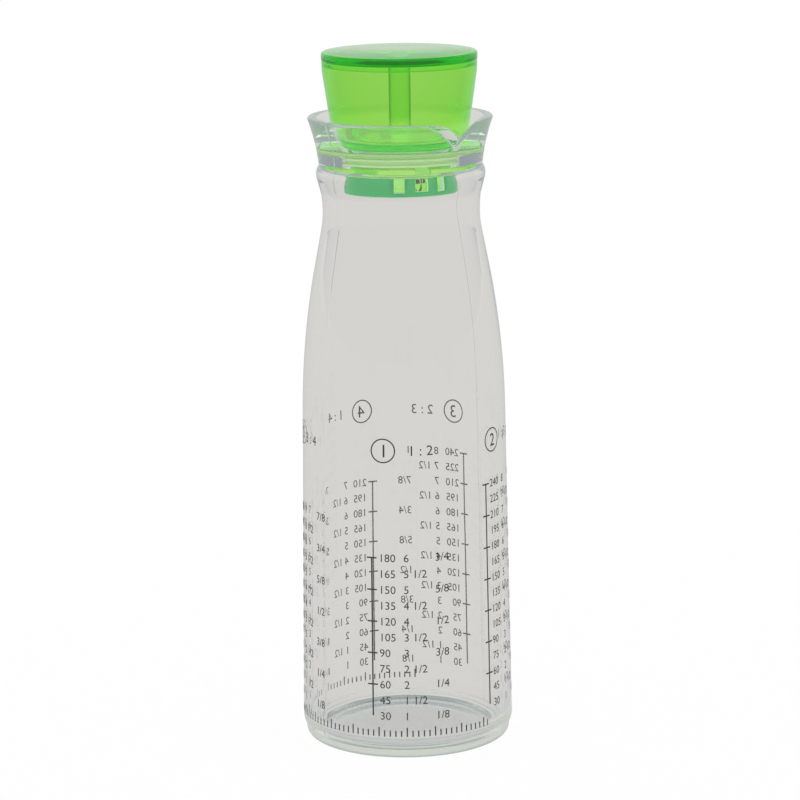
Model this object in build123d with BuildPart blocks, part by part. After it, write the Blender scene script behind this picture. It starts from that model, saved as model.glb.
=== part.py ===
from build123d import *
from math import cos, degrees, radians, sin, tan
import os

os.makedirs("parts", exist_ok=True)

# A clear bottle for shaking dressing, with a pouring groove in its collar and a green stopper.
# It stands on its foot at z = 0 on the Z axis, and the pouring groove points along -Y.
# All lengths are in millimetres and all angles in degrees.

# Bottle, from the widest part of the wall down to the ring that it stands on
wall_foot_radius = 33.65
heel_rise = 3.5
heel_inset = 1.15
crease_depth = 0.2
crease_rise = 0.7
foot_rise = 2.4
stand_inset = 2.3
stand_width = 2.4
dome_rise = 1.6
dome_flat_radius = 12.0

# Bottle, from the wall up to the neck
wall_length = 100.4
wall_inset = 1.45
shoulder_length = 43.0
slope_length = 14.0
slope_inset = 2.7
neck_length = 5.5
neck_inset = 0.6

# Bottle, from the neck up to the rim
waist_length = 5.7
waist_flare = 0.3
bulge_side_length = 5.0
bulge_side_flare = 1.3
bulge_crown = 0.25
bulge_crown_rise = 1.7
bulge_top_length = 2.7
bulge_top_inset = 0.9
collar_length = 15.3
collar_flare = 3.3
collar_flare_angle = 6.0
collar_width = 10.65
rim_width = 2.9
rim_rounding = 0.9

# Bottle, inside
wall = 2.3
floor_thickness = 2.6
floor_corner = 5.0
bore_radius = 18.3
bore_length = 7.7
seat_depth = 8.8
seat_width = 3.4
mouth_flare_angle = 26.0

# Bottle, pouring groove
groove_depth = 4.05
groove_rise_angle = 28.5
groove_half_angle = 58.0
groove_rounding = 2.5

# Clearances: between pieces that move, between pieces that stay together, round a catch
running_gap = 0.05
fit_gap = 0.05
catch_gap = 0.2

# Stopper, tapered cup with a boss below and a pin inside
cup_height = 26.25
cup_flare = 3.5
cup_band_height = 3.4
cup_band_flare = 0.1
cup_foot_gap = 0.75
cup_wall = 1.6
cup_floor = 2.0
cup_rounding = 0.6
boss_wall = 1.6
boss_bare_length = 4.35
pin_radius = 2.85
pin_length = 3.2

# Stopper, top plate with a locating ring and a hollow post
plate_overhang = 0.1
plate_thickness = 2.6
plate_rounding = 0.4
spigot_width = 1.5
spigot_depth = 1.7
post_wall = 0.6

# Stopper, sealing ring
seal_height = 4.7
seal_width = 2.6
seal_lip_depth = 0.9
seal_lip_height = 0.9
seal_lip_count = 3

# Stopper, plug that snaps on the boss
plug_wall = 2.05
plug_height = 5.2
plug_floor = 1.5
slot_width = 3.3
tongue_angle = 46.0
tongue_place_angle = -21.3
catch_width = 4.0
catch_height = 2.4
catch_rise = 1.3
catch_drop = 0.8

# Printed scales: one tick for each 30 ml. Each line starts at the level of its last bare one
ink_thickness = 0.1
line_width = 0.45
tick_pitch = 10.2
tick_length = 3.2
bare_tick_count = 1
column_angles = [-61.5, 8.5, 98.5, 157.5, 223.5]
column_tick_counts = [6, 8, 8, 7, 7]

# A cut runs past the solid by this much
overrun = 10.0

# Levels and radii that follow
foot_radius = wall_foot_radius - heel_inset + crease_depth
stand_radius = foot_radius - stand_inset
crease_height = foot_rise + crease_rise
wall_foot_height = crease_height + heel_rise
wall_top_height = wall_foot_height + wall_length
wall_top_radius = wall_foot_radius - wall_inset
shoulder_height = wall_top_height + shoulder_length
slope_height = shoulder_height + slope_length
neck_height = slope_height + neck_length
bulge_foot_height = neck_height + waist_length
bulge_side_height = bulge_foot_height + bulge_side_length
bulge_crown_height = bulge_side_height + bulge_crown_rise
collar_foot_height = bulge_crown_height + bulge_top_length
rim_height = collar_foot_height + collar_length

# The radii from the rim down to the shoulder follow from the bore that the stopper seals
rim_radius = bore_radius + collar_width
rim_inner_radius = rim_radius - rim_width
collar_foot_radius = rim_radius - collar_flare
bulge_radius = collar_foot_radius + bulge_top_inset
bulge_side_radius = bulge_radius - bulge_crown
bulge_foot_radius = bulge_side_radius - bulge_side_flare
neck_radius = bulge_foot_radius - waist_flare
slope_radius = neck_radius + neck_inset
shoulder_radius = slope_radius + slope_inset
floor_height = dome_rise + floor_thickness
seat_height = rim_height - seat_depth
seat_radius = bore_radius + seat_width
bore_foot_height = seat_height - bore_length

cup_foot_height = seat_height + running_gap
cup_foot_radius = seat_radius - cup_foot_gap
cup_rim_height = cup_foot_height + cup_height
cup_band_foot_height = cup_rim_height - cup_band_height
cup_band_foot_radius = cup_foot_radius + cup_flare
cup_rim_radius = cup_band_foot_radius + cup_band_flare
cup_floor_height = cup_foot_height + cup_floor
seal_outer_radius = bore_radius - running_gap
seal_inner_radius = seal_outer_radius - seal_width
boss_radius = seal_inner_radius - running_gap
seal_foot_height = seat_height - seal_height
plug_top_height = seal_foot_height - boss_bare_length
plug_foot_height = plug_top_height - plug_height
plug_floor_height = plug_foot_height + plug_floor
skirt_inner_radius = boss_radius + fit_gap
plug_radius = skirt_inner_radius + plug_wall
catch_level = plug_top_height - catch_drop - catch_height / 2


def facing(radius, angle, height):
    """An upright plane at this radius, turned from the pouring groove, that looks outwards."""
    across, along = sin(radians(angle)), -cos(radians(angle))
    return Plane(
        origin=(radius * across, radius * along, height),
        x_dir=(-along, across, 0),
        z_dir=(across, along, 0),
    )


# The bottle is one moulded piece: foot, tapered wall, shoulder, neck, bulge and thick collar
with BuildPart() as bottle:
    with BuildSketch(Plane.XZ):
        with BuildLine():
            stand_edge = stand_radius - stand_width
            under = TangentArc((dome_flat_radius, dome_rise), (stand_edge, 0), tangent=(1, 0))
            stand = Line(under @ 1, (stand_radius, 0))
            foot = TangentArc(stand @ 1, (foot_radius, foot_rise), tangent=(1, 0))
            crease = Line(foot @ 1, (foot_radius - crease_depth, crease_height))
            straight = Line(
                (wall_foot_radius, wall_foot_height), (wall_top_radius, wall_top_height)
            )
            TangentArc(straight @ 0, crease @ 1, tangent=(straight % 0) * -1)
            shoulder = TangentArc(
                straight @ 1, (shoulder_radius, shoulder_height), tangent=straight % 1
            )
            slope = Line(shoulder @ 1, (slope_radius, slope_height))
            neck = TangentArc(slope @ 1, (neck_radius, neck_height), tangent=slope % 1)
            waist = TangentArc(
                neck @ 1, (bulge_foot_radius, bulge_foot_height), tangent=(0, 1)
            )
            bulge_side = Line(waist @ 1, (bulge_side_radius, bulge_side_height))
            bulge_top = ThreePointArc(
                bulge_side @ 1,
                (bulge_radius, bulge_crown_height),
                (collar_foot_radius, collar_foot_height),
            )
            flare_angle = radians(collar_flare_angle)
            flare = TangentArc(
                bulge_top @ 1,
                (rim_radius, rim_height - rim_rounding),
                tangent=(sin(flare_angle), cos(flare_angle)),
            )
            rim_edge = TangentArc(
                (rim_radius - rim_rounding, rim_height), flare @ 1, tangent=(1, 0)
            )
            rim_top = Line(rim_edge @ 0, (rim_inner_radius + rim_rounding / 2, rim_height))
            rim_inside = TangentArc(
                rim_top @ 1,
                (rim_inner_radius, rim_height - rim_rounding / 2),
                tangent=(-1, 0),
            )
            mouth_angle = radians(mouth_flare_angle)
            mouth = TangentArc(
                (seat_radius, seat_height),
                rim_inside @ 1,
                tangent=(sin(mouth_angle), cos(mouth_angle)),
            )
            bore = Polyline(
                mouth @ 0,
                (bore_radius, seat_height),
                (bore_radius, bore_foot_height),
                (bulge_radius - wall, bore_foot_height),
                (bulge_side_radius - wall, bulge_side_height),
                (bulge_foot_radius - wall, bulge_foot_height),
            )
            waist_inside = TangentArc(
                (neck_radius - wall, neck_height), bore @ 1, tangent=(0, 1)
            )
            slope_inside = Line(
                (shoulder_radius - wall, shoulder_height),
                (slope_radius - wall, slope_height),
            )
            TangentArc(slope_inside @ 1, waist_inside @ 0, tangent=slope_inside % 1)
            inside = Line(
                (wall_foot_radius - wall, floor_height + floor_corner),
                (wall_top_radius - wall, wall_top_height),
            )
            TangentArc(inside @ 1, slope_inside @ 0, tangent=inside % 1)
            corner = TangentArc(
                inside @ 0,
                (wall_foot_radius - wall - floor_corner, floor_height),
                tangent=(inside % 0) * -1,
            )
            Polyline(corner @ 1, (0, floor_height), (0, dome_rise), under @ 0)
        make_face()
    revolve(axis=Axis.Z)
    # The bottom of the groove rises outwards, from the seat to the outside of the collar
    groove_fall = groove_depth + (rim_radius - seat_radius) * tan(radians(groove_rise_angle))
    groove_height = groove_fall + overrun
    groove_half_width = groove_height * tan(radians(groove_half_angle))
    with BuildSketch(Plane.XZ.offset(seat_radius)) as groove:
        with Locations((0, rim_height - groove_fall)):
            Polygon(
                (0, 0),
                (groove_half_width, groove_height),
                (-groove_half_width, groove_height),
                align=None,
            )
        fillet(groove.vertices().sort_by(Axis.Y)[0], radius=groove_rounding)
    groove_rise = radians(groove_rise_angle)
    extrude(amount=rim_radius, dir=(0, -cos(groove_rise), sin(groove_rise)), mode=Mode.SUBTRACT)
bottle.part.label = "bottle"
export_step(bottle.part, "parts/bottle.step")

# Tapered hollow cup with an upright band at its rim. The boss below its floor carries the seal,
# then stands bare, and two catches on it hold the plug
with BuildPart() as stopper_cup:
    with BuildSketch(Plane.XZ):
        with BuildLine():
            Polyline(
                (0, cup_foot_height),
                (boss_radius - boss_wall, cup_foot_height),
                (boss_radius - boss_wall, plug_floor_height + fit_gap),
                (boss_radius, plug_floor_height + fit_gap),
                (boss_radius, cup_foot_height),
                (cup_foot_radius, cup_foot_height),
                (cup_band_foot_radius, cup_band_foot_height),
                (cup_rim_radius, cup_rim_height),
                (cup_rim_radius - cup_wall, cup_rim_height),
                (cup_band_foot_radius - cup_wall, cup_band_foot_height),
                (cup_foot_radius - cup_wall, cup_floor_height),
                (pin_radius, cup_floor_height),
                (pin_radius, cup_floor_height + pin_length),
                (0, cup_floor_height + pin_length),
                close=True,
            )
        make_face()
    revolve(axis=Axis.Z)
    foot_edges = stopper_cup.edges().filter_by(
        lambda edge: abs(edge.center().Z - cup_foot_height) < fit_gap
    )
    fillet(foot_edges.sort_by(SortBy.RADIUS)[-1], radius=cup_rounding)
    for half_turn in (0, 180):
        catch_plane = facing(boss_radius, tongue_place_angle + half_turn, catch_level)
        with BuildSketch(catch_plane.offset(-boss_wall / 2)):
            Rectangle(catch_width, catch_height)
        extrude(amount=boss_wall / 2 + catch_rise)
stopper_cup.part.label = "stopper_cup"
export_step(stopper_cup.part, "parts/stopper_cup.step")

# Top plate. Its ring fits inside the cup's rim, and its hollow post stands on the cup's floor
with BuildPart() as stopper_plate:
    with BuildSketch(Plane.XZ):
        with BuildLine():
            band_slope = cup_band_flare / cup_band_height
            spigot_radius = cup_rim_radius - cup_wall - spigot_depth * band_slope - fit_gap
            spigot_foot_height = cup_rim_height - spigot_depth
            plate_radius = cup_rim_radius + plate_overhang
            post_bore = pin_radius + fit_gap
            post_foot_height = cup_floor_height + fit_gap
            Polyline(
                (0, cup_rim_height + plate_thickness),
                (plate_radius, cup_rim_height + plate_thickness),
                (plate_radius, cup_rim_height),
                (spigot_radius, cup_rim_height),
                (spigot_radius, spigot_foot_height),
                (spigot_radius - spigot_width, spigot_foot_height),
                (spigot_radius - spigot_width, cup_rim_height),
                (post_bore + post_wall, cup_rim_height),
                (post_bore + post_wall, post_foot_height),
                (post_bore, post_foot_height),
                (post_bore, cup_rim_height),
                (0, cup_rim_height),
                close=True,
            )
        make_face()
    revolve(axis=Axis.Z)
    fillet(stopper_plate.edges().group_by(Axis.Z)[-1], radius=plate_rounding)
stopper_plate.part.label = "stopper_plate"
export_step(stopper_plate.part, "parts/stopper_plate.step")

# Soft sealing ring round the boss, with lips that press on the bore
lip_pitch = (seal_height - seal_lip_height) / (seal_lip_count - 1)
with BuildPart() as seal_ring:
    with BuildSketch(Plane.XZ):
        with Locations((seal_inner_radius, seal_foot_height)):
            Rectangle(
                seal_width - seal_lip_depth, seal_height, align=(Align.MIN, Align.MIN)
            )
        for lip in range(seal_lip_count):
            with Locations((seal_inner_radius, seal_foot_height + lip * lip_pitch)):
                Rectangle(seal_width, seal_lip_height, align=(Align.MIN, Align.MIN))
    revolve(axis=Axis.Z)
seal_ring.part.label = "seal_ring"
export_step(seal_ring.part, "parts/seal_ring.step")

# Plug that snaps on the boss from below. Each catch sits in the window of a springy tongue
with BuildPart() as stopper_plug:
    with BuildSketch(Plane.XZ):
        with BuildLine():
            Polyline(
                (0, plug_foot_height),
                (plug_radius, plug_foot_height),
                (plug_radius, plug_top_height),
                (skirt_inner_radius, plug_top_height),
                (skirt_inner_radius, plug_floor_height),
                (0, plug_floor_height),
                close=True,
            )
        make_face()
    revolve(axis=Axis.Z)
    fillet(stopper_plug.edges().group_by(Axis.Z)[0], radius=plate_rounding)
    for half_turn in (0, 180):
        tongue = tongue_place_angle + half_turn
        for slot_angle in (tongue - tongue_angle / 2, tongue + tongue_angle / 2):
            with BuildSketch(facing(boss_radius - boss_wall, slot_angle, plug_floor_height)):
                Rectangle(slot_width, plug_height, align=(Align.CENTER, Align.MIN))
            extrude(amount=overrun, mode=Mode.SUBTRACT)
        with BuildSketch(facing(boss_radius - boss_wall, tongue, catch_level)):
            Rectangle(catch_width + 2 * catch_gap, catch_height + 2 * catch_gap)
        extrude(amount=overrun, mode=Mode.SUBTRACT)
stopper_plug.part.label = "stopper_plug"
export_step(stopper_plug.part, "parts/stopper_plug.step")


def tick_level(tick):
    """Height of this tick above the foot."""
    return floor_height + tick * tick_pitch


def wall_radius(height):
    """Outer radius of the tapered wall at this height."""
    return wall_foot_radius - wall_inset * (height - wall_foot_height) / wall_length


def print_on_wall(spans, angle, width):
    """Adds ink on the wall, centred on this angle, at each of these spans of height."""
    middle = (spans[0][0] + spans[-1][1]) / 2
    spread = degrees(width / wall_radius(middle))
    start = facing(wall_radius(middle), angle - spread / 2, 0)
    with BuildSketch(Plane(origin=(0, 0, 0), x_dir=start.z_dir, z_dir=-start.x_dir)) as ink:
        for low, high in spans:
            with BuildLine():
                Polyline(
                    (wall_radius(low), low),
                    (wall_radius(low) + ink_thickness, low),
                    (wall_radius(high) + ink_thickness, high),
                    (wall_radius(high), high),
                    close=True,
                )
            make_face()
    revolve(ink.sketch, axis=Axis.Z, revolution_arc=spread)


# Each column of print is an upright line that ends at its top tick
with BuildPart() as measuring_scales:
    for angle, tick_count in zip(column_angles, column_tick_counts):
        ticks = []
        for tick in range(bare_tick_count + 1, tick_count + 1):
            ticks.append((tick_level(tick) - line_width / 2, tick_level(tick) + line_width / 2))
        line_span = (tick_level(bare_tick_count), tick_level(tick_count))
        print_on_wall([line_span], angle, line_width)
        print_on_wall(ticks, angle, tick_length)
measuring_scales.part.label = "measuring_scales"
export_step(measuring_scales.part, "parts/measuring_scales.step")
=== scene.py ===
from math import atan2, cos, gcd, hypot, pi, radians, sin, sqrt, tan

import bmesh
import bpy
from mathutils import Matrix, Vector


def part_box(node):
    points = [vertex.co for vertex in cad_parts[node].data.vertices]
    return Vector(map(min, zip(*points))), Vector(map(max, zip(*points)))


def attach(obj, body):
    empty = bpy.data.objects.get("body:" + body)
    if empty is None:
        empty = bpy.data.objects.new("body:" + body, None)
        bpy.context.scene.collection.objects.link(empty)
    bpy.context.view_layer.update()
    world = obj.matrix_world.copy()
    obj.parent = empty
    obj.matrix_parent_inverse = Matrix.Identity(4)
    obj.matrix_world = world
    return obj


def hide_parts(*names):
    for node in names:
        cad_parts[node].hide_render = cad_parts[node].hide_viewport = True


# A clear shaker bottle with printed scales and a green hollow stopper, as it stands in a white
# studio. Lengths are in metres, and rows of sizes follow the outline of the piece.
# The bottle stands on z = 0 round the Z axis, and its pouring groove points along -Y.
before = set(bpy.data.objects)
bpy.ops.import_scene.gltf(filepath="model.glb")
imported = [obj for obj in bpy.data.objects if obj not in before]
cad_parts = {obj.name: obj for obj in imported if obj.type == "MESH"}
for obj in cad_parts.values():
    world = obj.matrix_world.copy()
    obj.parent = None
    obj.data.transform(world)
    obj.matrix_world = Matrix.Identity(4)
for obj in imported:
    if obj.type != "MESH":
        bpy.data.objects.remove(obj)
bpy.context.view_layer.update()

MM = 0.001
LEVEL = Vector((1, 0))
UPRIGHT = Vector((0, 1))
FULL_TURN = 2 * pi
TOUCH = 0.0005 * MM

bottle_low, bottle_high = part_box("bottle")
plate_low, plate_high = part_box("stopper_plate")
cup_low, cup_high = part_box("stopper_cup")
seal_low, seal_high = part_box("seal_ring")
plug_low, plug_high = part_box("stopper_plug")

# Bottle, outside
wall_foot_radius = bottle_high.x
rim_height = bottle_high.z
dome_rise = 1.6 * MM
dome_flat_radius = 12 * MM
stand_inner_radius = 28 * MM
stand_radius = 30.4 * MM
foot_radius, foot_height = 32.7 * MM, 2.4 * MM
crease_radius, crease_height = 32.5 * MM, 3.1 * MM
wall_foot_height = 6.6 * MM
wall_top_radius, wall_top_height = 32.2 * MM, 107 * MM
shoulder_radius, shoulder_height = 28 * MM, 150 * MM
slope_radius, slope_height = 25.3 * MM, 164 * MM
neck_radius, neck_height = 24.7 * MM, 169.5 * MM
bulge_foot_radius, bulge_foot_height = 25 * MM, 175.2 * MM
bulge_side_radius, bulge_side_height = 26.3 * MM, 180.2 * MM
bulge_radius, bulge_crown_height = 26.55 * MM, 181.9 * MM
collar_foot_radius, collar_foot_height = 25.65 * MM, 184.6 * MM
collar_heading = Vector((sin(radians(6)), cos(radians(6))))
rim_radius = 28.95 * MM
rim_rounding = 0.9 * MM
rim_width = 2.9 * MM

# Bottle, inside
wall = 2.3 * MM
bulge_heading = Vector((0.35, 1))
floor_height = 4.2 * MM
floor_corner = 5 * MM
bore_radius, bore_foot_height = 18.3 * MM, 183.4 * MM
seat_depth = 8.8 * MM
seat_radius, seat_height = 21.7 * MM, rim_height - seat_depth
rim_inner_radius = rim_radius - rim_width
mouth_heading = Vector((sin(radians(26)), cos(radians(26))))
mouth_rounding = 0.45 * MM
edge_rounding = 0.3 * MM

# Bottle, pouring groove and parting line of the mould. The groove is finer than the rest
groove_depth = 4.05 * MM
groove_rise = tan(radians(28.5))
groove_half_angle = radians(58)
groove_rounding = 2.5 * MM
lip_softness = 0.5 * MM
groove_reach = pi / 3
seam_angle, seam_height, seam_half_width = radians(-4), 0.08 * MM, 0.35 * MM
seam_steps, front_steps, back_steps = 4, 180, 110
flare_steps, brow_steps, top_steps, lip_steps, mouth_steps = 24, 6, 12, 4, 16
underside_count = 30

# Stopper
fit_gap = 0.05 * MM
edge_inset = 0.25 * MM
cup_foot_radius, cup_foot_height = 20.95 * MM, seat_height + fit_gap
cup_rim_radius, cup_rim_height = cup_high.x - edge_inset, cup_high.z
cup_band_radius, cup_band_height = cup_rim_radius - 0.1 * MM, cup_rim_height - 3.4 * MM
cup_wall = 1.6 * MM
cup_floor = 2 * MM
cup_floor_height = cup_foot_height + cup_floor
boss_radius, boss_wall = 15.6 * MM, 1.6 * MM
catch_angle, catch_half_turn, catch_rise = radians(-21.3), radians(7.6), 1.3 * MM
catch_foot, catch_top = cup_low.z + 0.45 * MM, cup_low.z + 2.85 * MM
pin_radius, pin_length = 2.85 * MM, 3.2 * MM
plate_radius, plate_height = plate_high.x - edge_inset, plate_high.z
plate_rounding = 0.75 * MM
spigot_radius, spigot_width, spigot_depth = 22.85 * MM, 1.5 * MM, 1.7 * MM
post_bore, post_wall = 2.9 * MM, 0.6 * MM
seal_width = 2.6 * MM
seal_inner_radius = seal_high.x - seal_width
seal_lip_depth, seal_lip_height, seal_lip_count = 0.9 * MM, 0.9 * MM, 3

# Print on the wall. Each tick is 30 ml, and the figures go up by half a tick
ink_depth = 0.03 * MM
tick_pitch, tick_volume = 10.2 * MM, 30
column_angles = [radians(angle) for angle in (-61.5, 8.5, 98.5, 157.5, 223.5)]
column_tick_counts = [6, 8, 8, 7, 7]
column_ratios = ["1 : 2", "1 : 3", "2 : 3", "1 : 4", "3 : 4"]
digit_height, ratio_height, sign_height = 2.5 * MM, 3.1 * MM, 4 * MM
digit_share = 0.69
figure_offsets = [2.2 * MM, 10 * MM, 20 * MM]
sign_radius, sign_line, sign_level = 3.9 * MM, 0.4 * MM, 99.5 * MM
sign_share, ratio_place = 0.3, 11.7 * MM
band_foot, band_dash, band_tall_dash = 7.7 * MM, 2 * MM, 3 * MM
band_start, band_turn, band_dash_count = radians(-227), radians(233), 76
band_line, dashes_to_tall = 0.42 * MM, 5
ring_steps, letter_steps = 64, 3

# Plastics
plastic_ior, seal_ior = 1.5, 1.42
# Rays that the walls have turned back at least last_turn times, or that reach last_bounce bounces, get
# painted light.
last_turn, last_bounce = 4, 12
dye_density, wall_density = 680, 4
collar_start = 4 * floor_height
pressed_top, pressed_foot = 1.8 * MM, 2.2 * MM


def arc(start, heading, end, steps):
    """Points of the arc that leaves start along heading and reaches end, without start."""
    start, heading, end = Vector(start[:2]), Vector(heading).normalized(), Vector(end[:2])
    chord = end - start
    half_turn = atan2(heading.x * chord.y - heading.y * chord.x, heading.dot(chord))
    points = []
    for step in range(1, steps + 1):
        part = half_turn * step / steps
        reach = chord.length * (sin(part) / sin(half_turn) if abs(half_turn) > 1e-6 else step / steps)
        turned = Matrix.Rotation(part, 2) @ heading
        points.append(tuple(start + turned * reach))
    return points


def line(start, end, steps):
    """Points that divide the line from start to end, without start."""
    start, end = Vector(start[:2]), Vector(end[:2])
    return [tuple(start.lerp(end, step / steps)) for step in range(1, steps + 1)]


def rounded(corners, steps=4):
    """The corners as points, with an arc at each corner that has a third number, its rounding."""
    points = []
    for place, corner in enumerate(corners):
        if len(corner) < 3:
            points.append(corner)
            continue
        here = Vector(corner[:2])
        before = Vector(corners[place - 1][:2]) - here
        after = Vector(corners[(place + 1) % len(corners)][:2]) - here
        trim = corner[2] / tan(before.angle(after) / 2)
        first = here + before.normalized() * trim
        last = here + after.normalized() * trim
        points.append(tuple(first))
        points.extend(arc(first, -before, last, steps))
    return points


def lathe(outline, steps=192, closed=False):
    """A bmesh of the outline of (radius, height) points turned round the Z axis."""
    bm = bmesh.new()
    verts = [bm.verts.new((radius, 0, height)) for radius, height in outline]
    pairs = list(zip(verts, verts[1:])) + ([(verts[-1], verts[0])] if closed else [])
    edges = [bm.edges.new(pair) for pair in pairs]
    bmesh.ops.spin(
        bm, geom=verts + edges, cent=(0, 0, 0), axis=(0, 0, 1), dvec=(0, 0, 0),
        angle=FULL_TURN, steps=steps, use_merge=True,
    )
    close_up(bm)
    return bm


def close_up(bm):
    """Merges what a spin left doubled, and turns the faces outwards."""
    bmesh.ops.remove_doubles(bm, verts=bm.verts, dist=TOUCH)
    bmesh.ops.dissolve_degenerate(bm, edges=bm.edges, dist=TOUCH)
    bmesh.ops.recalc_face_normals(bm, faces=bm.faces)


def finished(bm, name, material, body, slot, *nodes, sharp=radians(40)):
    """The bmesh as a piece of the object, in place of these CAD nodes."""
    mesh = bpy.data.meshes.new(name)
    bm.to_mesh(mesh)
    bm.free()
    mesh.shade_smooth()
    mesh.set_sharp_from_angle(angle=sharp)
    mesh.materials.append(material)
    piece = bpy.data.objects.new(name, mesh)
    bpy.context.scene.collection.objects.link(piece)
    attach(piece, body)
    if nodes:
        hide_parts(*nodes)
    return piece


# Materials

class Value:
    """The output of a node. Arithmetic on it adds Math nodes to the same tree."""

    def __init__(self, finish, socket):
        self.finish, self.socket = finish, socket

    def math(self, operation, *numbers):
        return self.finish.node("ShaderNodeMath", {"operation": operation}, dict(enumerate(numbers)))

    def near(self, middle, reach):
        """1 where the value is no further than reach from the middle, and 0 elsewhere."""
        return self.math("COMPARE", self, middle, reach)

    def __add__(self, other):
        return self.math("ADD", self, other)

    def __rsub__(self, other):
        return self.math("SUBTRACT", other, self)

    def __mul__(self, other):
        return self.math("MULTIPLY", self, other)

    def __gt__(self, other):
        return self.math("GREATER_THAN", self, other)

    def __lt__(self, other):
        return self.math("LESS_THAN", self, other)

    __radd__ = __add__
    __rmul__ = __mul__


class Finish:
    """A tree of nodes, of a material or of the world."""

    def __init__(self, owner):
        owner.use_nodes = True
        self.owner, self.tree = owner, owner.node_tree
        self.tree.nodes.clear()

    def node(self, kind, settings=None, sockets=None, output=0):
        """Adds a node with these settings, then these values or links of its sockets."""
        made = self.tree.nodes.new(kind)
        for name, value in (settings or {}).items():
            setattr(made, name, value)
        for name, value in (sockets or {}).items():
            if isinstance(value, Value):
                self.tree.links.new(value.socket, made.inputs[name])
            else:
                made.inputs[name].default_value = value
        return Value(self, made.outputs[output]) if made.outputs else None

    def place(self, stretch=(1, 1, 1)):
        """Object coordinates, stretched along each axis."""
        coordinates = self.node("ShaderNodeTexCoord", output="Object")
        return self.node("ShaderNodeMapping", {}, {"Vector": coordinates, "Scale": stretch})

    def height(self):
        """Height above the foot of the object, at rest."""
        return self.node("ShaderNodeSeparateXYZ", {}, {"Vector": self.place()}, output="Z")

    def radius(self):
        """Distance from the axis of the bottle."""
        flat = self.place((1, 1, 0))
        return self.node("ShaderNodeVectorMath", {"operation": "LENGTH"}, {0: flat}, output="Value")

    def fade(self, amount, start, end):
        """Softly 0 to 1 while the amount goes from start to end."""
        return self.node("ShaderNodeMapRange", {"interpolation_type": "SMOOTHSTEP"}, {
            "Value": amount, "From Min": start, "From Max": end, "To Min": 0, "To Max": 1
        })

    def noise(self, scale, detail=2, stretch=(1, 1, 1)):
        return self.node(
            "ShaderNodeTexNoise", {},
            {"Vector": self.place(stretch), "Scale": scale, "Detail": detail, "Roughness": 0.5},
        )

    def tint(self, amount, first, second):
        """A colour from first to second by amount. Each is plain or comes from a node."""
        first, second = [part if isinstance(part, Value) else (*part, 1) for part in (first, second)]
        return self.node(
            "ShaderNodeMix", {"data_type": "RGBA"}, {"Factor": amount, "A": first, "B": second}, output=2
        )

    def bump(self, height, distance):
        """Normals of a surface whose height goes up and down by this distance."""
        return self.node("ShaderNodeBump", {}, {"Height": height, "Strength": 1, "Distance": distance})

    def ray(self, kind):
        return self.node("ShaderNodeLightPath", output=kind)

    def shut_in(self, colour, painted_glow=(0, 0, 0)):
        """Painted light: this colour glows for rays that the walls have turned back too often, and the
        painted glow, if any, glows for other rays.
        """
        turned = self.ray("Glossy Depth") > last_turn - 0.5
        deep = self.ray("Ray Depth") > last_bounce - 0.5
        return self.tint(turned.math("MAXIMUM", turned, deep), painted_glow, colour)


def material(name):
    return Finish(bpy.data.materials.new(name))


def mould_waves(finish, depth):
    """Soft uneven waves of a moulded wall, drawn out along the bottle."""
    return finish.bump(finish.noise(55, 1, (1, 1, 0.25)), depth)


def clear_plastic():
    """Polished clear wall with a trace of green in its depth, faint waves and a duller foot.

    Lamplight goes straight through it, and so does sight where the seal presses on the bore. Rays that
    the walls have turned back too often show painted light: grey below the collar, and grey and green
    streaks in it.
    """
    finish = material("clear_plastic")
    haze = finish.noise(160, 3)
    height = finish.height()
    foot = finish.fade(height, wall_foot_height, floor_height)
    # Painted light for rays turned back too often: grey below the collar, and streaks of lilac grey and
    # green in it.
    painted_light_streaks = finish.fade(finish.noise(420, 1, (0, 0, 1)), 0.42, 0.58)
    painted_collar_light = finish.tint(painted_light_streaks, (0.20, 0.21, 0.25), (0.13, 0.205, 0.12))
    painted_trapped_light = finish.tint(height > collar_start, (0.34, 0.34, 0.315), painted_collar_light)
    surface = finish.node("ShaderNodeBsdfPrincipled", {}, {
        "Base Color": finish.tint(haze, (0.985, 0.99, 0.985), (0.995, 0.995, 0.99)),
        "Roughness": haze * 0.02 + foot * 0.12 + 0.01,
        "IOR": plastic_ior,
        "Transmission Weight": 1,
        "Emission Color": finish.shut_in(painted_trapped_light),
        "Emission Strength": 1,
        "Normal": mould_waves(finish, 0.1 * MM),
    })
    lamplight = finish.ray("Is Shadow Ray")
    lamplight = lamplight.math("MAXIMUM", lamplight, finish.ray("Is Diffuse Ray"))
    let_through = finish.node("ShaderNodeBsdfTransparent")
    pressed = height.near(seat_height, pressed_top) + height.near(bore_foot_height, pressed_foot)
    pressed = finish.radius().near(bore_radius, edge_rounding) * pressed
    surface = finish.node("ShaderNodeMixShader", {}, {0: pressed, 1: surface, 2: let_through})
    surface = finish.node("ShaderNodeMixShader", {}, {0: lamplight, 1: surface, 2: let_through})
    depth = finish.node(
        "ShaderNodeVolumeAbsorption", {}, {"Color": (0.5, 0.8, 0.6, 1), "Density": wall_density}
    )
    finish.node("ShaderNodeOutputMaterial", {}, {"Surface": surface, "Volume": depth})
    finish.owner.cycles.emission_sampling = "NONE"
    return finish.owner


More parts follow.
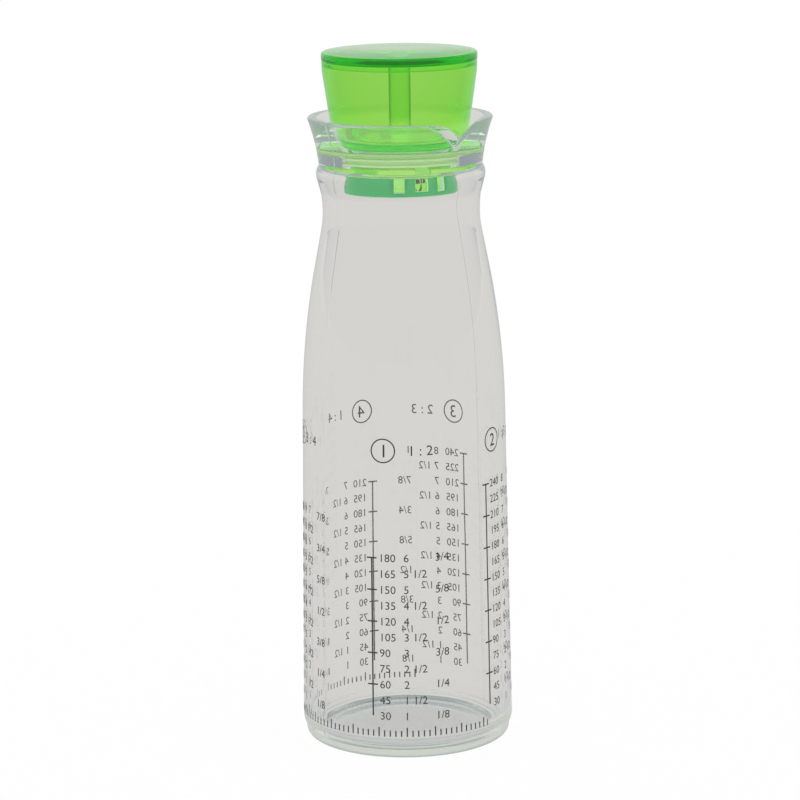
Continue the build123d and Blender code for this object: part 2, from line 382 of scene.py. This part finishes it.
def green_plastic(name, dye, painted_trapped_light):
    """Glossy translucent green, whose colour deepens with the thickness.

    Low in the collar it is slightly rougher and has a painted glow, and the post in the middle is
    slightly dull. Rays that the walls have turned back too often show painted light of the last colour
    given.
    """
    finish = material(name)
    flow = finish.noise(120, 3, (1, 1, 0.4))
    low = finish.fade(finish.height(), rim_height, rim_height - rim_width)
    # Painted glow low in the collar.
    painted_glow = finish.tint(low, (0, 0, 0), (0.055, 0.032, 0.04))
    inner = finish.radius() < 2 * post_bore
    frost = inner * (finish.height() < cup_rim_height - edge_rounding)
    surface = finish.node("ShaderNodeBsdfPrincipled", {}, {
        "Base Color": finish.tint(flow, (0.96, 1, 0.95), (1, 1, 0.97)),
        "Roughness": flow * 0.03 + low * 0.06 + frost * 0.1 + 0.015,
        "IOR": plastic_ior,
        "Transmission Weight": 1,
        "Emission Color": finish.shut_in(painted_trapped_light, painted_glow),
        "Emission Strength": 1,
        "Normal": finish.bump(flow, 0.02 * MM),
    })
    depth = finish.node(
        "ShaderNodeVolumeAbsorption", {}, {"Color": (*dye, 1), "Density": dye_density}
    )
    finish.node("ShaderNodeOutputMaterial", {}, {"Surface": surface, "Volume": depth})
    finish.owner.cycles.emission_sampling = "NONE"
    return finish.owner


def sea_green_plastic():
    """Duller bluish green of the plug, with a painted highlight as a paler foot, and a painted glow
    inside its wall that stands in for light coming through it.
    """
    finish = material("sea_green_plastic")
    flow = finish.noise(200, 3)
    height = finish.height()
    outside = finish.tint(flow, (0.035, 0.40, 0.11), (0.055, 0.46, 0.14))
    # Painted light: the inside of the wall glows as if lit through it.
    inside = (finish.radius() < plug_high.x - edge_rounding) * (height > plug_low.z + edge_rounding)
    surface = finish.node("ShaderNodeBsdfPrincipled", {}, {
        # Painted highlight: the foot is paler.
        "Base Color": finish.tint(height > plug_low.z + edge_rounding, (0.35, 0.62, 0.36), outside),
        "Roughness": flow * 0.1 + 0.25,
        "IOR": plastic_ior,
        "Emission Color": finish.tint(inside, (0, 0, 0), (0.34, 0.48, 0.3)),
        "Emission Strength": 1,
        "Normal": finish.bump(flow, 0.02 * MM),
    })
    finish.node("ShaderNodeOutputMaterial", {}, {"Surface": surface})
    finish.owner.cycles.emission_sampling = "NONE"
    return finish.owner


def soft_seal():
    """Milky soft plastic that lets light through."""
    finish = material("soft_seal")
    cloud = finish.noise(300, 3)
    surface = finish.node("ShaderNodeBsdfPrincipled", {}, {
        "Base Color": finish.tint(cloud, (0.58, 0.89, 0.40), (0.64, 0.91, 0.46)),
        "Roughness": cloud * 0.1 + 0.35,
        "IOR": seal_ior,
        "Transmission Weight": 0.15,
        "Normal": finish.bump(cloud, 0.03 * MM),
    })
    finish.node("ShaderNodeOutputMaterial", {}, {"Surface": surface})
    return finish.owner


def black_ink():
    """Screen-printed ink of a slightly uneven tone."""
    finish = material("black_ink")
    grain = finish.noise(2500, 4)
    surface = finish.node("ShaderNodeBsdfPrincipled", {}, {
        "Base Color": finish.tint(grain, (0.02, 0.02, 0.02), (0.05, 0.048, 0.045)),
        "Roughness": grain * 0.2 + 0.45,
        "Normal": finish.bump(grain, 0.01 * MM),
    })
    finish.node("ShaderNodeOutputMaterial", {}, {"Surface": surface})
    return finish.owner


# Bottle

def hollow_radius(foot, heading, top, height):
    """Radius at this height of a round hollow that leaves foot along heading and reaches top."""
    foot, chord = Vector(foot), Vector(top) - Vector(foot)
    outwards = Vector((heading.y, -heading.x))
    bend = chord.length_squared / (2 * chord.dot(outwards))
    centre = foot + outwards * bend
    return centre.x - sqrt(bend ** 2 - (height - centre.y) ** 2)


def flare_radius(height):
    """Outer radius of the flared collar at this height."""
    foot, top = (collar_foot_radius, collar_foot_height), (rim_radius, rim_height - rim_rounding)
    return hollow_radius(foot, collar_heading, top, height)


def mouth_radius(height):
    """Radius of the flared inside of the mouth at this height."""
    foot, top = (seat_radius, seat_height), (rim_inner_radius, rim_height - mouth_rounding)
    return hollow_radius(foot, mouth_heading, top, height)


def groove_height(radius, angle):
    """Height of the pouring groove's surface at this radius and angle from the groove."""
    across, out = abs(radius * sin(angle)), radius * cos(angle)
    if out <= 0:
        return rim_height * 2
    centre = groove_rounding / sin(groove_half_angle)
    if across < groove_rounding * cos(groove_half_angle):
        side = centre - sqrt(groove_rounding ** 2 - across ** 2)
    else:
        side = across / tan(groove_half_angle)
    return rim_height - groove_depth - (rim_radius - out) * groove_rise + side


def top_height(radius, angle):
    """Height of the collar's edge: the rim, or the groove where that is lower, softly joined."""
    low, high = sorted((rim_height, groove_height(radius, angle)))
    blend = max(1 - (high - low) / (4 * lip_softness), 0)
    return low - blend * blend * lip_softness


def collar_edge(angle):
    """The collar from above its foot, over its edge and down to the seat, at this angle."""
    outer, inner = rim_radius, rim_inner_radius
    for _ in range(30):
        outer = flare_radius(top_height(outer, angle))
        inner = mouth_radius(top_height(inner, angle))
    outer_height, inner_height = top_height(outer, angle), top_height(inner, angle)
    outer_trim = rim_rounding
    inner_trim = min(mouth_rounding, (inner_height - seat_height) / 2)
    rise = outer_height - outer_trim - collar_foot_height
    points = []
    for step in range(1, flare_steps + 1):
        height = collar_foot_height + rise * step / flare_steps
        points.append((flare_radius(height), height))
    slant = Vector(points[-1]) - Vector(points[-2])
    brow = outer - outer_trim
    points += arc(points[-1], slant, (brow, top_height(brow, angle)), brow_steps)
    lip = inner + inner_trim
    for step in range(1, top_steps + 1):
        radius = brow + (lip - brow) * step / top_steps
        points.append((radius, top_height(radius, angle)))
    fall = Vector(points[-1]) - Vector(points[-2])
    lip_foot = inner_height - inner_trim
    points += arc(points[-1], fall, (mouth_radius(lip_foot), lip_foot), lip_steps)
    for step in range(1, mouth_steps + 1):
        height = lip_foot + (seat_height - lip_foot) * step / mouth_steps
        points.append((mouth_radius(height), height))
    return points


def bottle_outside():
    """The outside, from the middle of the underside to the foot of the collar."""
    points = [(0, dome_rise), (dome_flat_radius / 2, dome_rise), (dome_flat_radius, dome_rise)]
    points += arc(points[-1], LEVEL, (stand_inner_radius, 0), 12)
    points += line(points[-1], (stand_radius, 0), 2)
    points += arc(points[-1], LEVEL, (foot_radius, foot_height), 10)
    wall_heading = Vector((wall_top_radius - wall_foot_radius, wall_top_height - wall_foot_height))
    heel = arc((wall_foot_radius, wall_foot_height), -wall_heading, (crease_radius, crease_height), 8)
    points += heel[::-1]
    points += line((wall_foot_radius, wall_foot_height), (wall_top_radius, wall_top_height), 24)
    points += arc(points[-1], wall_heading, (shoulder_radius, shoulder_height), 24)
    slope = Vector((slope_radius - shoulder_radius, slope_height - shoulder_height))
    points += line(points[-1], (slope_radius, slope_height), 6)
    points += arc(points[-1], slope, (neck_radius, neck_height), 6)
    points += arc(points[-1], UPRIGHT, (bulge_foot_radius, bulge_foot_height), 6)
    points += line(points[-1], (bulge_side_radius, bulge_side_height), 5)
    crown = Vector((bulge_radius, bulge_crown_height))
    points += arc(points[-1], bulge_heading, crown, 4)
    points += arc(points[-1], UPRIGHT, (collar_foot_radius, collar_foot_height), 6)
    return points


def bottle_inside():
    """The inside, from the seat of the stopper to the middle of the floor."""
    slope = Vector((slope_radius - shoulder_radius, slope_height - shoulder_height))
    inside_wall = Vector((wall_top_radius - wall_foot_radius, wall_top_height - floor_height))
    points = rounded([
        (seat_radius, seat_height),
        (bore_radius, seat_height, edge_rounding),
        (bore_radius, bore_foot_height, edge_rounding),
        (bulge_radius - wall, bore_foot_height, 2 * edge_rounding),
        (bulge_side_radius - wall, bulge_side_height),
        (bulge_foot_radius - wall, bulge_foot_height),
    ])[1:]
    points += arc((neck_radius - wall, neck_height), UPRIGHT, points[-1], 6)[-2::-1]
    points.append((neck_radius - wall, neck_height))
    neck_in = arc((slope_radius - wall, slope_height), slope, points[-1], 6)
    points += neck_in[-2::-1] + [(slope_radius - wall, slope_height)]
    points += line(points[-1], (shoulder_radius - wall, shoulder_height), 6)
    wall_in = arc((wall_top_radius - wall, wall_top_height), inside_wall, points[-1], 24)
    points += wall_in[-2::-1] + [(wall_top_radius - wall, wall_top_height)]
    points += line(points[-1], (wall_foot_radius - wall, floor_height + floor_corner), 24)
    points += arc(points[-1], -inside_wall, (wall_foot_radius - wall - floor_corner, floor_height), 10)
    points += line(points[-1], (0, floor_height), 4)
    return points


def seam_rise(around):
    """How far the parting line stands out at this angle round the wall."""
    off = wall_foot_radius * sin(around - seam_angle) / seam_half_width
    return seam_height * max(1 - off ** 2, 0)


def bottle_mesh():
    """The whole bottle, spun with finer steps at the parting line and round the groove."""
    below, inside = bottle_outside(), bottle_inside()
    stations = below + collar_edge(pi) + inside
    outside_count = len(below) + flare_steps
    bm = bmesh.new()
    station = bm.verts.layers.int.new("station")
    verts = [bm.verts.new((radius, 0, height)) for radius, height in stations]
    for place, vert in enumerate(verts):
        vert[station] = place
    last = verts + [bm.edges.new(pair) for pair in zip(verts, verts[1:])]
    seam_turn = 2 * seam_half_width / wall_foot_radius
    start = Matrix.Rotation(seam_angle - seam_turn / 2, 3, "Z")
    bmesh.ops.rotate(bm, verts=verts, cent=(0, 0, 0), matrix=start)
    half_turn = pi - seam_turn
    parts = [(seam_turn, seam_steps), (half_turn, back_steps), (seam_turn, seam_steps)]
    for turn, steps in parts + [(half_turn, front_steps)]:
        spun = bmesh.ops.spin(
            bm, geom=last, cent=(0, 0, 0), axis=(0, 0, 1), dvec=(0, 0, 0), angle=turn, steps=steps
        )
        last = spun["geom_last"]
    edges = {}
    for vert in bm.verts:
        place = vert[station]
        around = atan2(vert.co.y, vert.co.x)
        angle = (around + pi / 2 + pi) % FULL_TURN - pi
        if len(below) <= place < len(stations) - len(inside) and abs(angle) < groove_reach:
            key = round(angle, 5)
            if key not in edges:
                edges[key] = collar_edge(angle)
            radius, height = edges[key][place - len(below)]
            vert.co = (radius * cos(around), radius * sin(around), height)
        if underside_count < place < outside_count:
            radius = hypot(vert.co.x, vert.co.y)
            out = min(radius + seam_rise(around), wall_foot_radius)
            vert.co.x, vert.co.y = vert.co.x * out / radius, vert.co.y * out / radius
    close_up(bm)
    return bm


# Stopper

def cup_outline():
    """The tapered cup with its pin inside and the boss below its floor."""
    return rounded([
        (0, cup_foot_height),
        (boss_radius - boss_wall, cup_foot_height, edge_rounding),
        (boss_radius - boss_wall, cup_low.z, edge_rounding),
        (boss_radius, cup_low.z, edge_rounding / 2),
        (boss_radius, catch_foot),
        (boss_radius, catch_top),
        (boss_radius, cup_foot_height, edge_rounding),
        (cup_foot_radius, cup_foot_height, 2 * edge_rounding),
        (cup_band_radius, cup_band_height, 8 * edge_rounding),
        (cup_rim_radius, cup_rim_height, edge_rounding / 3),
        (cup_rim_radius - cup_wall, cup_rim_height, edge_rounding / 3),
        (cup_band_radius - cup_wall, cup_band_height, 4 * edge_rounding),
        (cup_foot_radius - cup_wall, cup_floor_height, 4 * edge_rounding),
        (pin_radius, cup_floor_height, edge_rounding),
        (pin_radius, cup_floor_height + pin_length, edge_rounding),
        (0, cup_floor_height + pin_length),
    ])


def cup_mesh():
    """The cup with the two catches that stand out from its boss."""
    bm = lathe(cup_outline())
    for side in (catch_angle, catch_angle + pi):
        faces = []
        for face in bm.faces:
            middle = face.calc_center_median()
            turn = (atan2(middle.x, -middle.y) - side + pi) % FULL_TURN - pi
            outside = abs(hypot(middle.x, middle.y) - boss_radius) < edge_rounding / 2
            if outside and abs(turn) < catch_half_turn and catch_foot < middle.z < catch_top:
                faces.append(face)
        raised = bmesh.ops.extrude_face_region(bm, geom=faces)["geom"]
        for vert in raised:
            if isinstance(vert, bmesh.types.BMVert):
                vert.co.xy *= (boss_radius + catch_rise) / boss_radius
    bmesh.ops.recalc_face_normals(bm, faces=bm.faces)
    return bm


def plate_outline():
    """The top plate with its locating ring and hollow post."""
    post_foot_height = cup_floor_height + fit_gap
    return rounded([
        (0, plate_height),
        (plate_radius, plate_height, plate_rounding),
        (plate_radius, cup_rim_height, edge_rounding),
        (spigot_radius, cup_rim_height),
        (spigot_radius, cup_rim_height - spigot_depth, edge_rounding),
        (spigot_radius - spigot_width, cup_rim_height - spigot_depth, edge_rounding),
        (spigot_radius - spigot_width, cup_rim_height, edge_rounding),
        (post_bore + post_wall, cup_rim_height, edge_rounding),
        (post_bore + post_wall, post_foot_height, edge_rounding / 2),
        (post_bore, post_foot_height, edge_rounding / 2),
        (post_bore, cup_rim_height, edge_rounding),
        (0, cup_rim_height),
    ])


def seal_outline():
    """The sealing ring, with lips on its outside."""
    lip_pitch = (seal_high.z - seal_low.z - seal_lip_height) / (seal_lip_count - 1)
    groove_radius = seal_high.x - seal_lip_depth
    soft = seal_lip_height / 3
    corners = [(seal_inner_radius, seal_low.z, soft)]
    for lip in range(seal_lip_count):
        foot = seal_low.z + lip * lip_pitch
        if lip:
            corners.append((groove_radius, foot, soft))
        corners.append((seal_high.x, foot, soft))
        corners.append((seal_high.x, foot + seal_lip_height, soft))
        if lip < seal_lip_count - 1:
            corners.append((groove_radius, foot + seal_lip_height, soft))
    corners.append((seal_inner_radius, seal_high.z, soft))
    return rounded(corners)


def merged_copy(node):
    """A bmesh copy of a CAD node's mesh, with its loose triangles joined."""
    bm = bmesh.new()
    bm.from_mesh(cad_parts[node].data)
    bmesh.ops.remove_doubles(bm, verts=bm.verts, dist=TOUCH)
    return bm


# Print

def wall_radius(height):
    """Outer radius of the tapered wall at this height."""
    share = (height - wall_foot_height) / (wall_top_height - wall_foot_height)
    return wall_foot_radius + (wall_top_radius - wall_foot_radius) * share


def wrap(verts, angle, height):
    """Lays flat print in the wall: its X runs round the wall from this angle, its Y up it."""
    for vert in verts:
        radius = wall_radius(height + vert.co.y) - ink_depth
        turn = angle + vert.co.x / radius
        vert.co = (radius * sin(turn), -radius * cos(turn), height + vert.co.y)


def figures(bm, words, tall, left, angle, height):
    """Prints plain figures this tall, from left onwards and centred on this height."""
    curve = bpy.data.curves.new("figures", "FONT")
    curve.body, curve.resolution_u = words, letter_steps
    curve.size = tall / digit_share
    mesh = bpy.data.meshes.new_from_object(bpy.data.objects.new("figures", curve))
    known = len(bm.verts)
    bm.from_mesh(mesh)
    bm.verts.ensure_lookup_table()
    verts = bm.verts[known:]
    bmesh.ops.translate(bm, verts=verts, vec=(left, -tall / 2, 0))
    wrap(verts, angle, height)


def ring(bm, radius, line_width, left, angle, height):
    """Prints a ring that encloses a figure."""
    loops = []
    for edge in (radius, radius - line_width):
        loops.append(bmesh.ops.create_circle(bm, segments=ring_steps, radius=edge)["verts"])
    verts = loops[0] + loops[1]
    edges = {edge for vert in verts for edge in vert.link_edges}
    bmesh.ops.bridge_loops(bm, edges=list(edges))
    bmesh.ops.translate(bm, verts=verts, vec=(left, 0, 0))
    wrap(verts, angle, height)


def dash(bm, length, angle):
    """Prints one upright dash of the band at the wall's foot."""
    verts = bmesh.ops.create_grid(bm, x_segments=1, y_segments=1, size=0.5)["verts"]
    bmesh.ops.scale(bm, verts=verts, vec=(band_line, length, 1))
    wrap(verts, angle, band_foot + length / 2)


def plain(halves):
    """A number of halves as plain figures."""
    whole, half = divmod(halves, 2)
    return " ".join(([str(whole)] if whole else []) + (["1/2"] if half else []))


def eighths(count):
    """A number of eighths as plain figures, in lowest terms."""
    share = gcd(count, 8)
    return str(count // 8) if share == 8 else "%d/%d" % (count // share, 8 // share)


def printed_figures():
    """All that is printed beside the lines: three rows of figures, a sign for each, and the band."""
    bm = bmesh.new()
    columns = zip(column_angles, column_tick_counts, column_ratios)
    for column, (angle, tick_count, ratio) in enumerate(columns):
        for step in range(2, 2 * tick_count + 1):
            level = floor_height + step * tick_pitch / 2
            entries = [str(step * tick_volume // 2), plain(step)]
            if step % 2 == 0:
                entries.append(eighths(step // 2))
            for words, left in zip(entries, figure_offsets):
                figures(bm, words, digit_height, left, angle, level)
        sign = str(column + 1)
        ring(bm, sign_radius, sign_line, sign_radius, angle, sign_level)
        figures(bm, sign, sign_height, sign_radius - sign_height * sign_share, angle, sign_level)
        figures(bm, ratio, ratio_height, ratio_place, angle, sign_level)
    for place in range(band_dash_count + 1):
        length = band_dash if place % dashes_to_tall else band_tall_dash
        dash(bm, length, band_start + band_turn * place / band_dash_count)
    for face in bm.faces:
        if face.normal.dot(face.calc_center_median() * Vector((1, 1, 0))) > 0:
            face.normal_flip()
    bmesh.ops.solidify(bm, geom=bm.faces, thickness=2 * ink_depth)
    bmesh.ops.recalc_face_normals(bm, faces=bm.faces)
    return bm


clear = clear_plastic()
# The last colour of each green is painted light for rays that the walls have turned back too often.
green = green_plastic("green_plastic", (0.6, 0.99, 0.08), (0.30, 0.36, 0.17))
deep_green = green_plastic("deep_green_plastic", (0.6, 0.982, 0.08), (0.004, 0.29, 0.12))
sea_green = sea_green_plastic()
ink = black_ink()
seal_finish = soft_seal()

finished(bottle_mesh(), "clear_bottle", clear, "bottle", "clear_plastic", "bottle")
finished(cup_mesh(), "green_cup", green, "stopper", "green_plastic", "stopper_cup")
finished(lathe(plate_outline()), "green_plate", deep_green, "stopper", "green_plastic", "stopper_plate")
finished(lathe(seal_outline(), closed=True), "soft_ring", seal_finish, "seal", "soft_seal", "seal_ring")
finished(merged_copy("stopper_plug"), "green_plug", sea_green, "stopper", "green_plastic", "stopper_plug")
finished(printed_figures(), "printed_figures", ink, "bottle", "black_ink")
for polygon_slot in range(len(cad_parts["measuring_scales"].material_slots)):
    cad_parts["measuring_scales"].material_slots[polygon_slot].material = ink


# Stage, light and camera

def seen_through(finish):
    """Whether a ray has come through clear plastic straight from the camera."""
    return finish.ray("Is Transmission Ray") > finish.ray("Diffuse Depth")


def mirrored(finish):
    """Whether a ray was last turned back by a glossy surface."""
    return finish.ray("Is Glossy Ray") > finish.ray("Is Transmission Ray")


def studio():
    """A white sweep that the plastic shows as a pale grey, and an even soft light.

    Rays that the plastic has turned aside see a darker grey with one pale strip, and a painted shade of
    grey on the floor round the bottle's foot.
    """
    backdrop_grey = (0.695, 0.674, 0.653)
    sideways_grey = (0.29, 0.32, 0.365)
    mirrored_grey = (0.74, 0.74, 0.74)
    painted_foot_shade, painted_shade_reach = (0.56, 0.56, 0.55), 3 * wall_foot_radius
    strip_foot, strip_top, strip_edge = -0.10, -0.035, 0.015
    floor_white, floor_lift, floor_radius = (0.98, 0.98, 0.98, 1), 0.8, 6
    mirrored_floor_grey = (0.60, 0.60, 0.60)
    world = bpy.data.worlds.new("studio")
    bpy.context.scene.world = world
    finish = Finish(world)
    around = finish.tint(mirrored(finish), (1, 1, 1), mirrored_grey)
    level = finish.node("ShaderNodeSeparateXYZ", {}, {
        "Vector": finish.node("ShaderNodeTexCoord", output="Generated")
    }, output="Z")
    strip = finish.fade(level, strip_foot, strip_foot + strip_edge)
    strip = strip * finish.fade(level, strip_top, strip_top - strip_edge)
    turned = (finish.ray("Glossy Depth") > 0.5) * (1 - strip)
    beyond = finish.tint(turned, backdrop_grey, sideways_grey)
    colour = finish.tint(seen_through(finish), around, beyond)
    background = finish.node("ShaderNodeBackground", {}, {"Color": colour, "Strength": 1})
    finish.node("ShaderNodeOutputWorld", {}, {"Surface": background})

    floor = material("pale_floor")
    matt = floor.node("ShaderNodeBsdfDiffuse", {}, {"Color": floor_white})
    white = floor.node("ShaderNodeEmission", {}, {"Color": (1, 1, 1, 1), "Strength": 1})
    # Painted shade: the floor round the foot is grey for rays that the plastic has turned back.
    near_foot = floor.fade(floor.radius(), painted_shade_reach, wall_foot_radius)
    turned = (floor.ray("Glossy Depth") > 0.5) * near_foot
    shown = floor.tint(turned, backdrop_grey, painted_foot_shade)
    shown = floor.tint(mirrored(floor), shown, mirrored_floor_grey)
    grey = floor.node("ShaderNodeEmission", {}, {"Color": shown, "Strength": 1})
    lift = floor.ray("Is Camera Ray") * floor_lift
    lifted = floor.node("ShaderNodeMixShader", {}, {0: lift, 1: matt, 2: white})
    indirect = mirrored(floor) + seen_through(floor)
    seen = floor.node("ShaderNodeMixShader", {}, {0: indirect, 1: lifted, 2: grey})
    floor.node("ShaderNodeOutputMaterial", {}, {"Surface": seen})
    bm = bmesh.new()
    bmesh.ops.create_circle(bm, cap_ends=True, segments=96, radius=floor_radius)
    mesh = bpy.data.meshes.new("floor")
    bm.to_mesh(mesh)
    bm.free()
    mesh.materials.append(floor.owner)
    ground = bpy.data.objects.new("floor", mesh)
    bpy.context.scene.collection.objects.link(ground)


def camera():
    """A long lens that looks down a little on the bottle, from the left of the groove."""
    distance, height = 1056 * MM, 330.5 * MM
    film_width, focal_length = 36, 152.7
    side, heading, pitch, roll = radians(-42.5), radians(0.066), radians(11.851), radians(-0.795)
    lens = bpy.data.cameras.new("camera")
    lens.sensor_width = film_width
    lens.lens = focal_length
    eye = bpy.data.objects.new("camera", lens)
    turned = Matrix.Rotation(side + heading, 4, "Z") @ Matrix.Rotation(pi / 2 - pitch, 4, "X")
    spot = Matrix.Translation((distance * sin(side), -distance * cos(side), height))
    eye.matrix_world = spot @ turned @ Matrix.Rotation(roll, 4, "Z")
    bpy.context.scene.collection.objects.link(eye)
    bpy.context.scene.camera = eye


studio()
camera()
bpy.context.scene.view_settings.view_transform = "Standard"

bpy.context.view_layer.update()
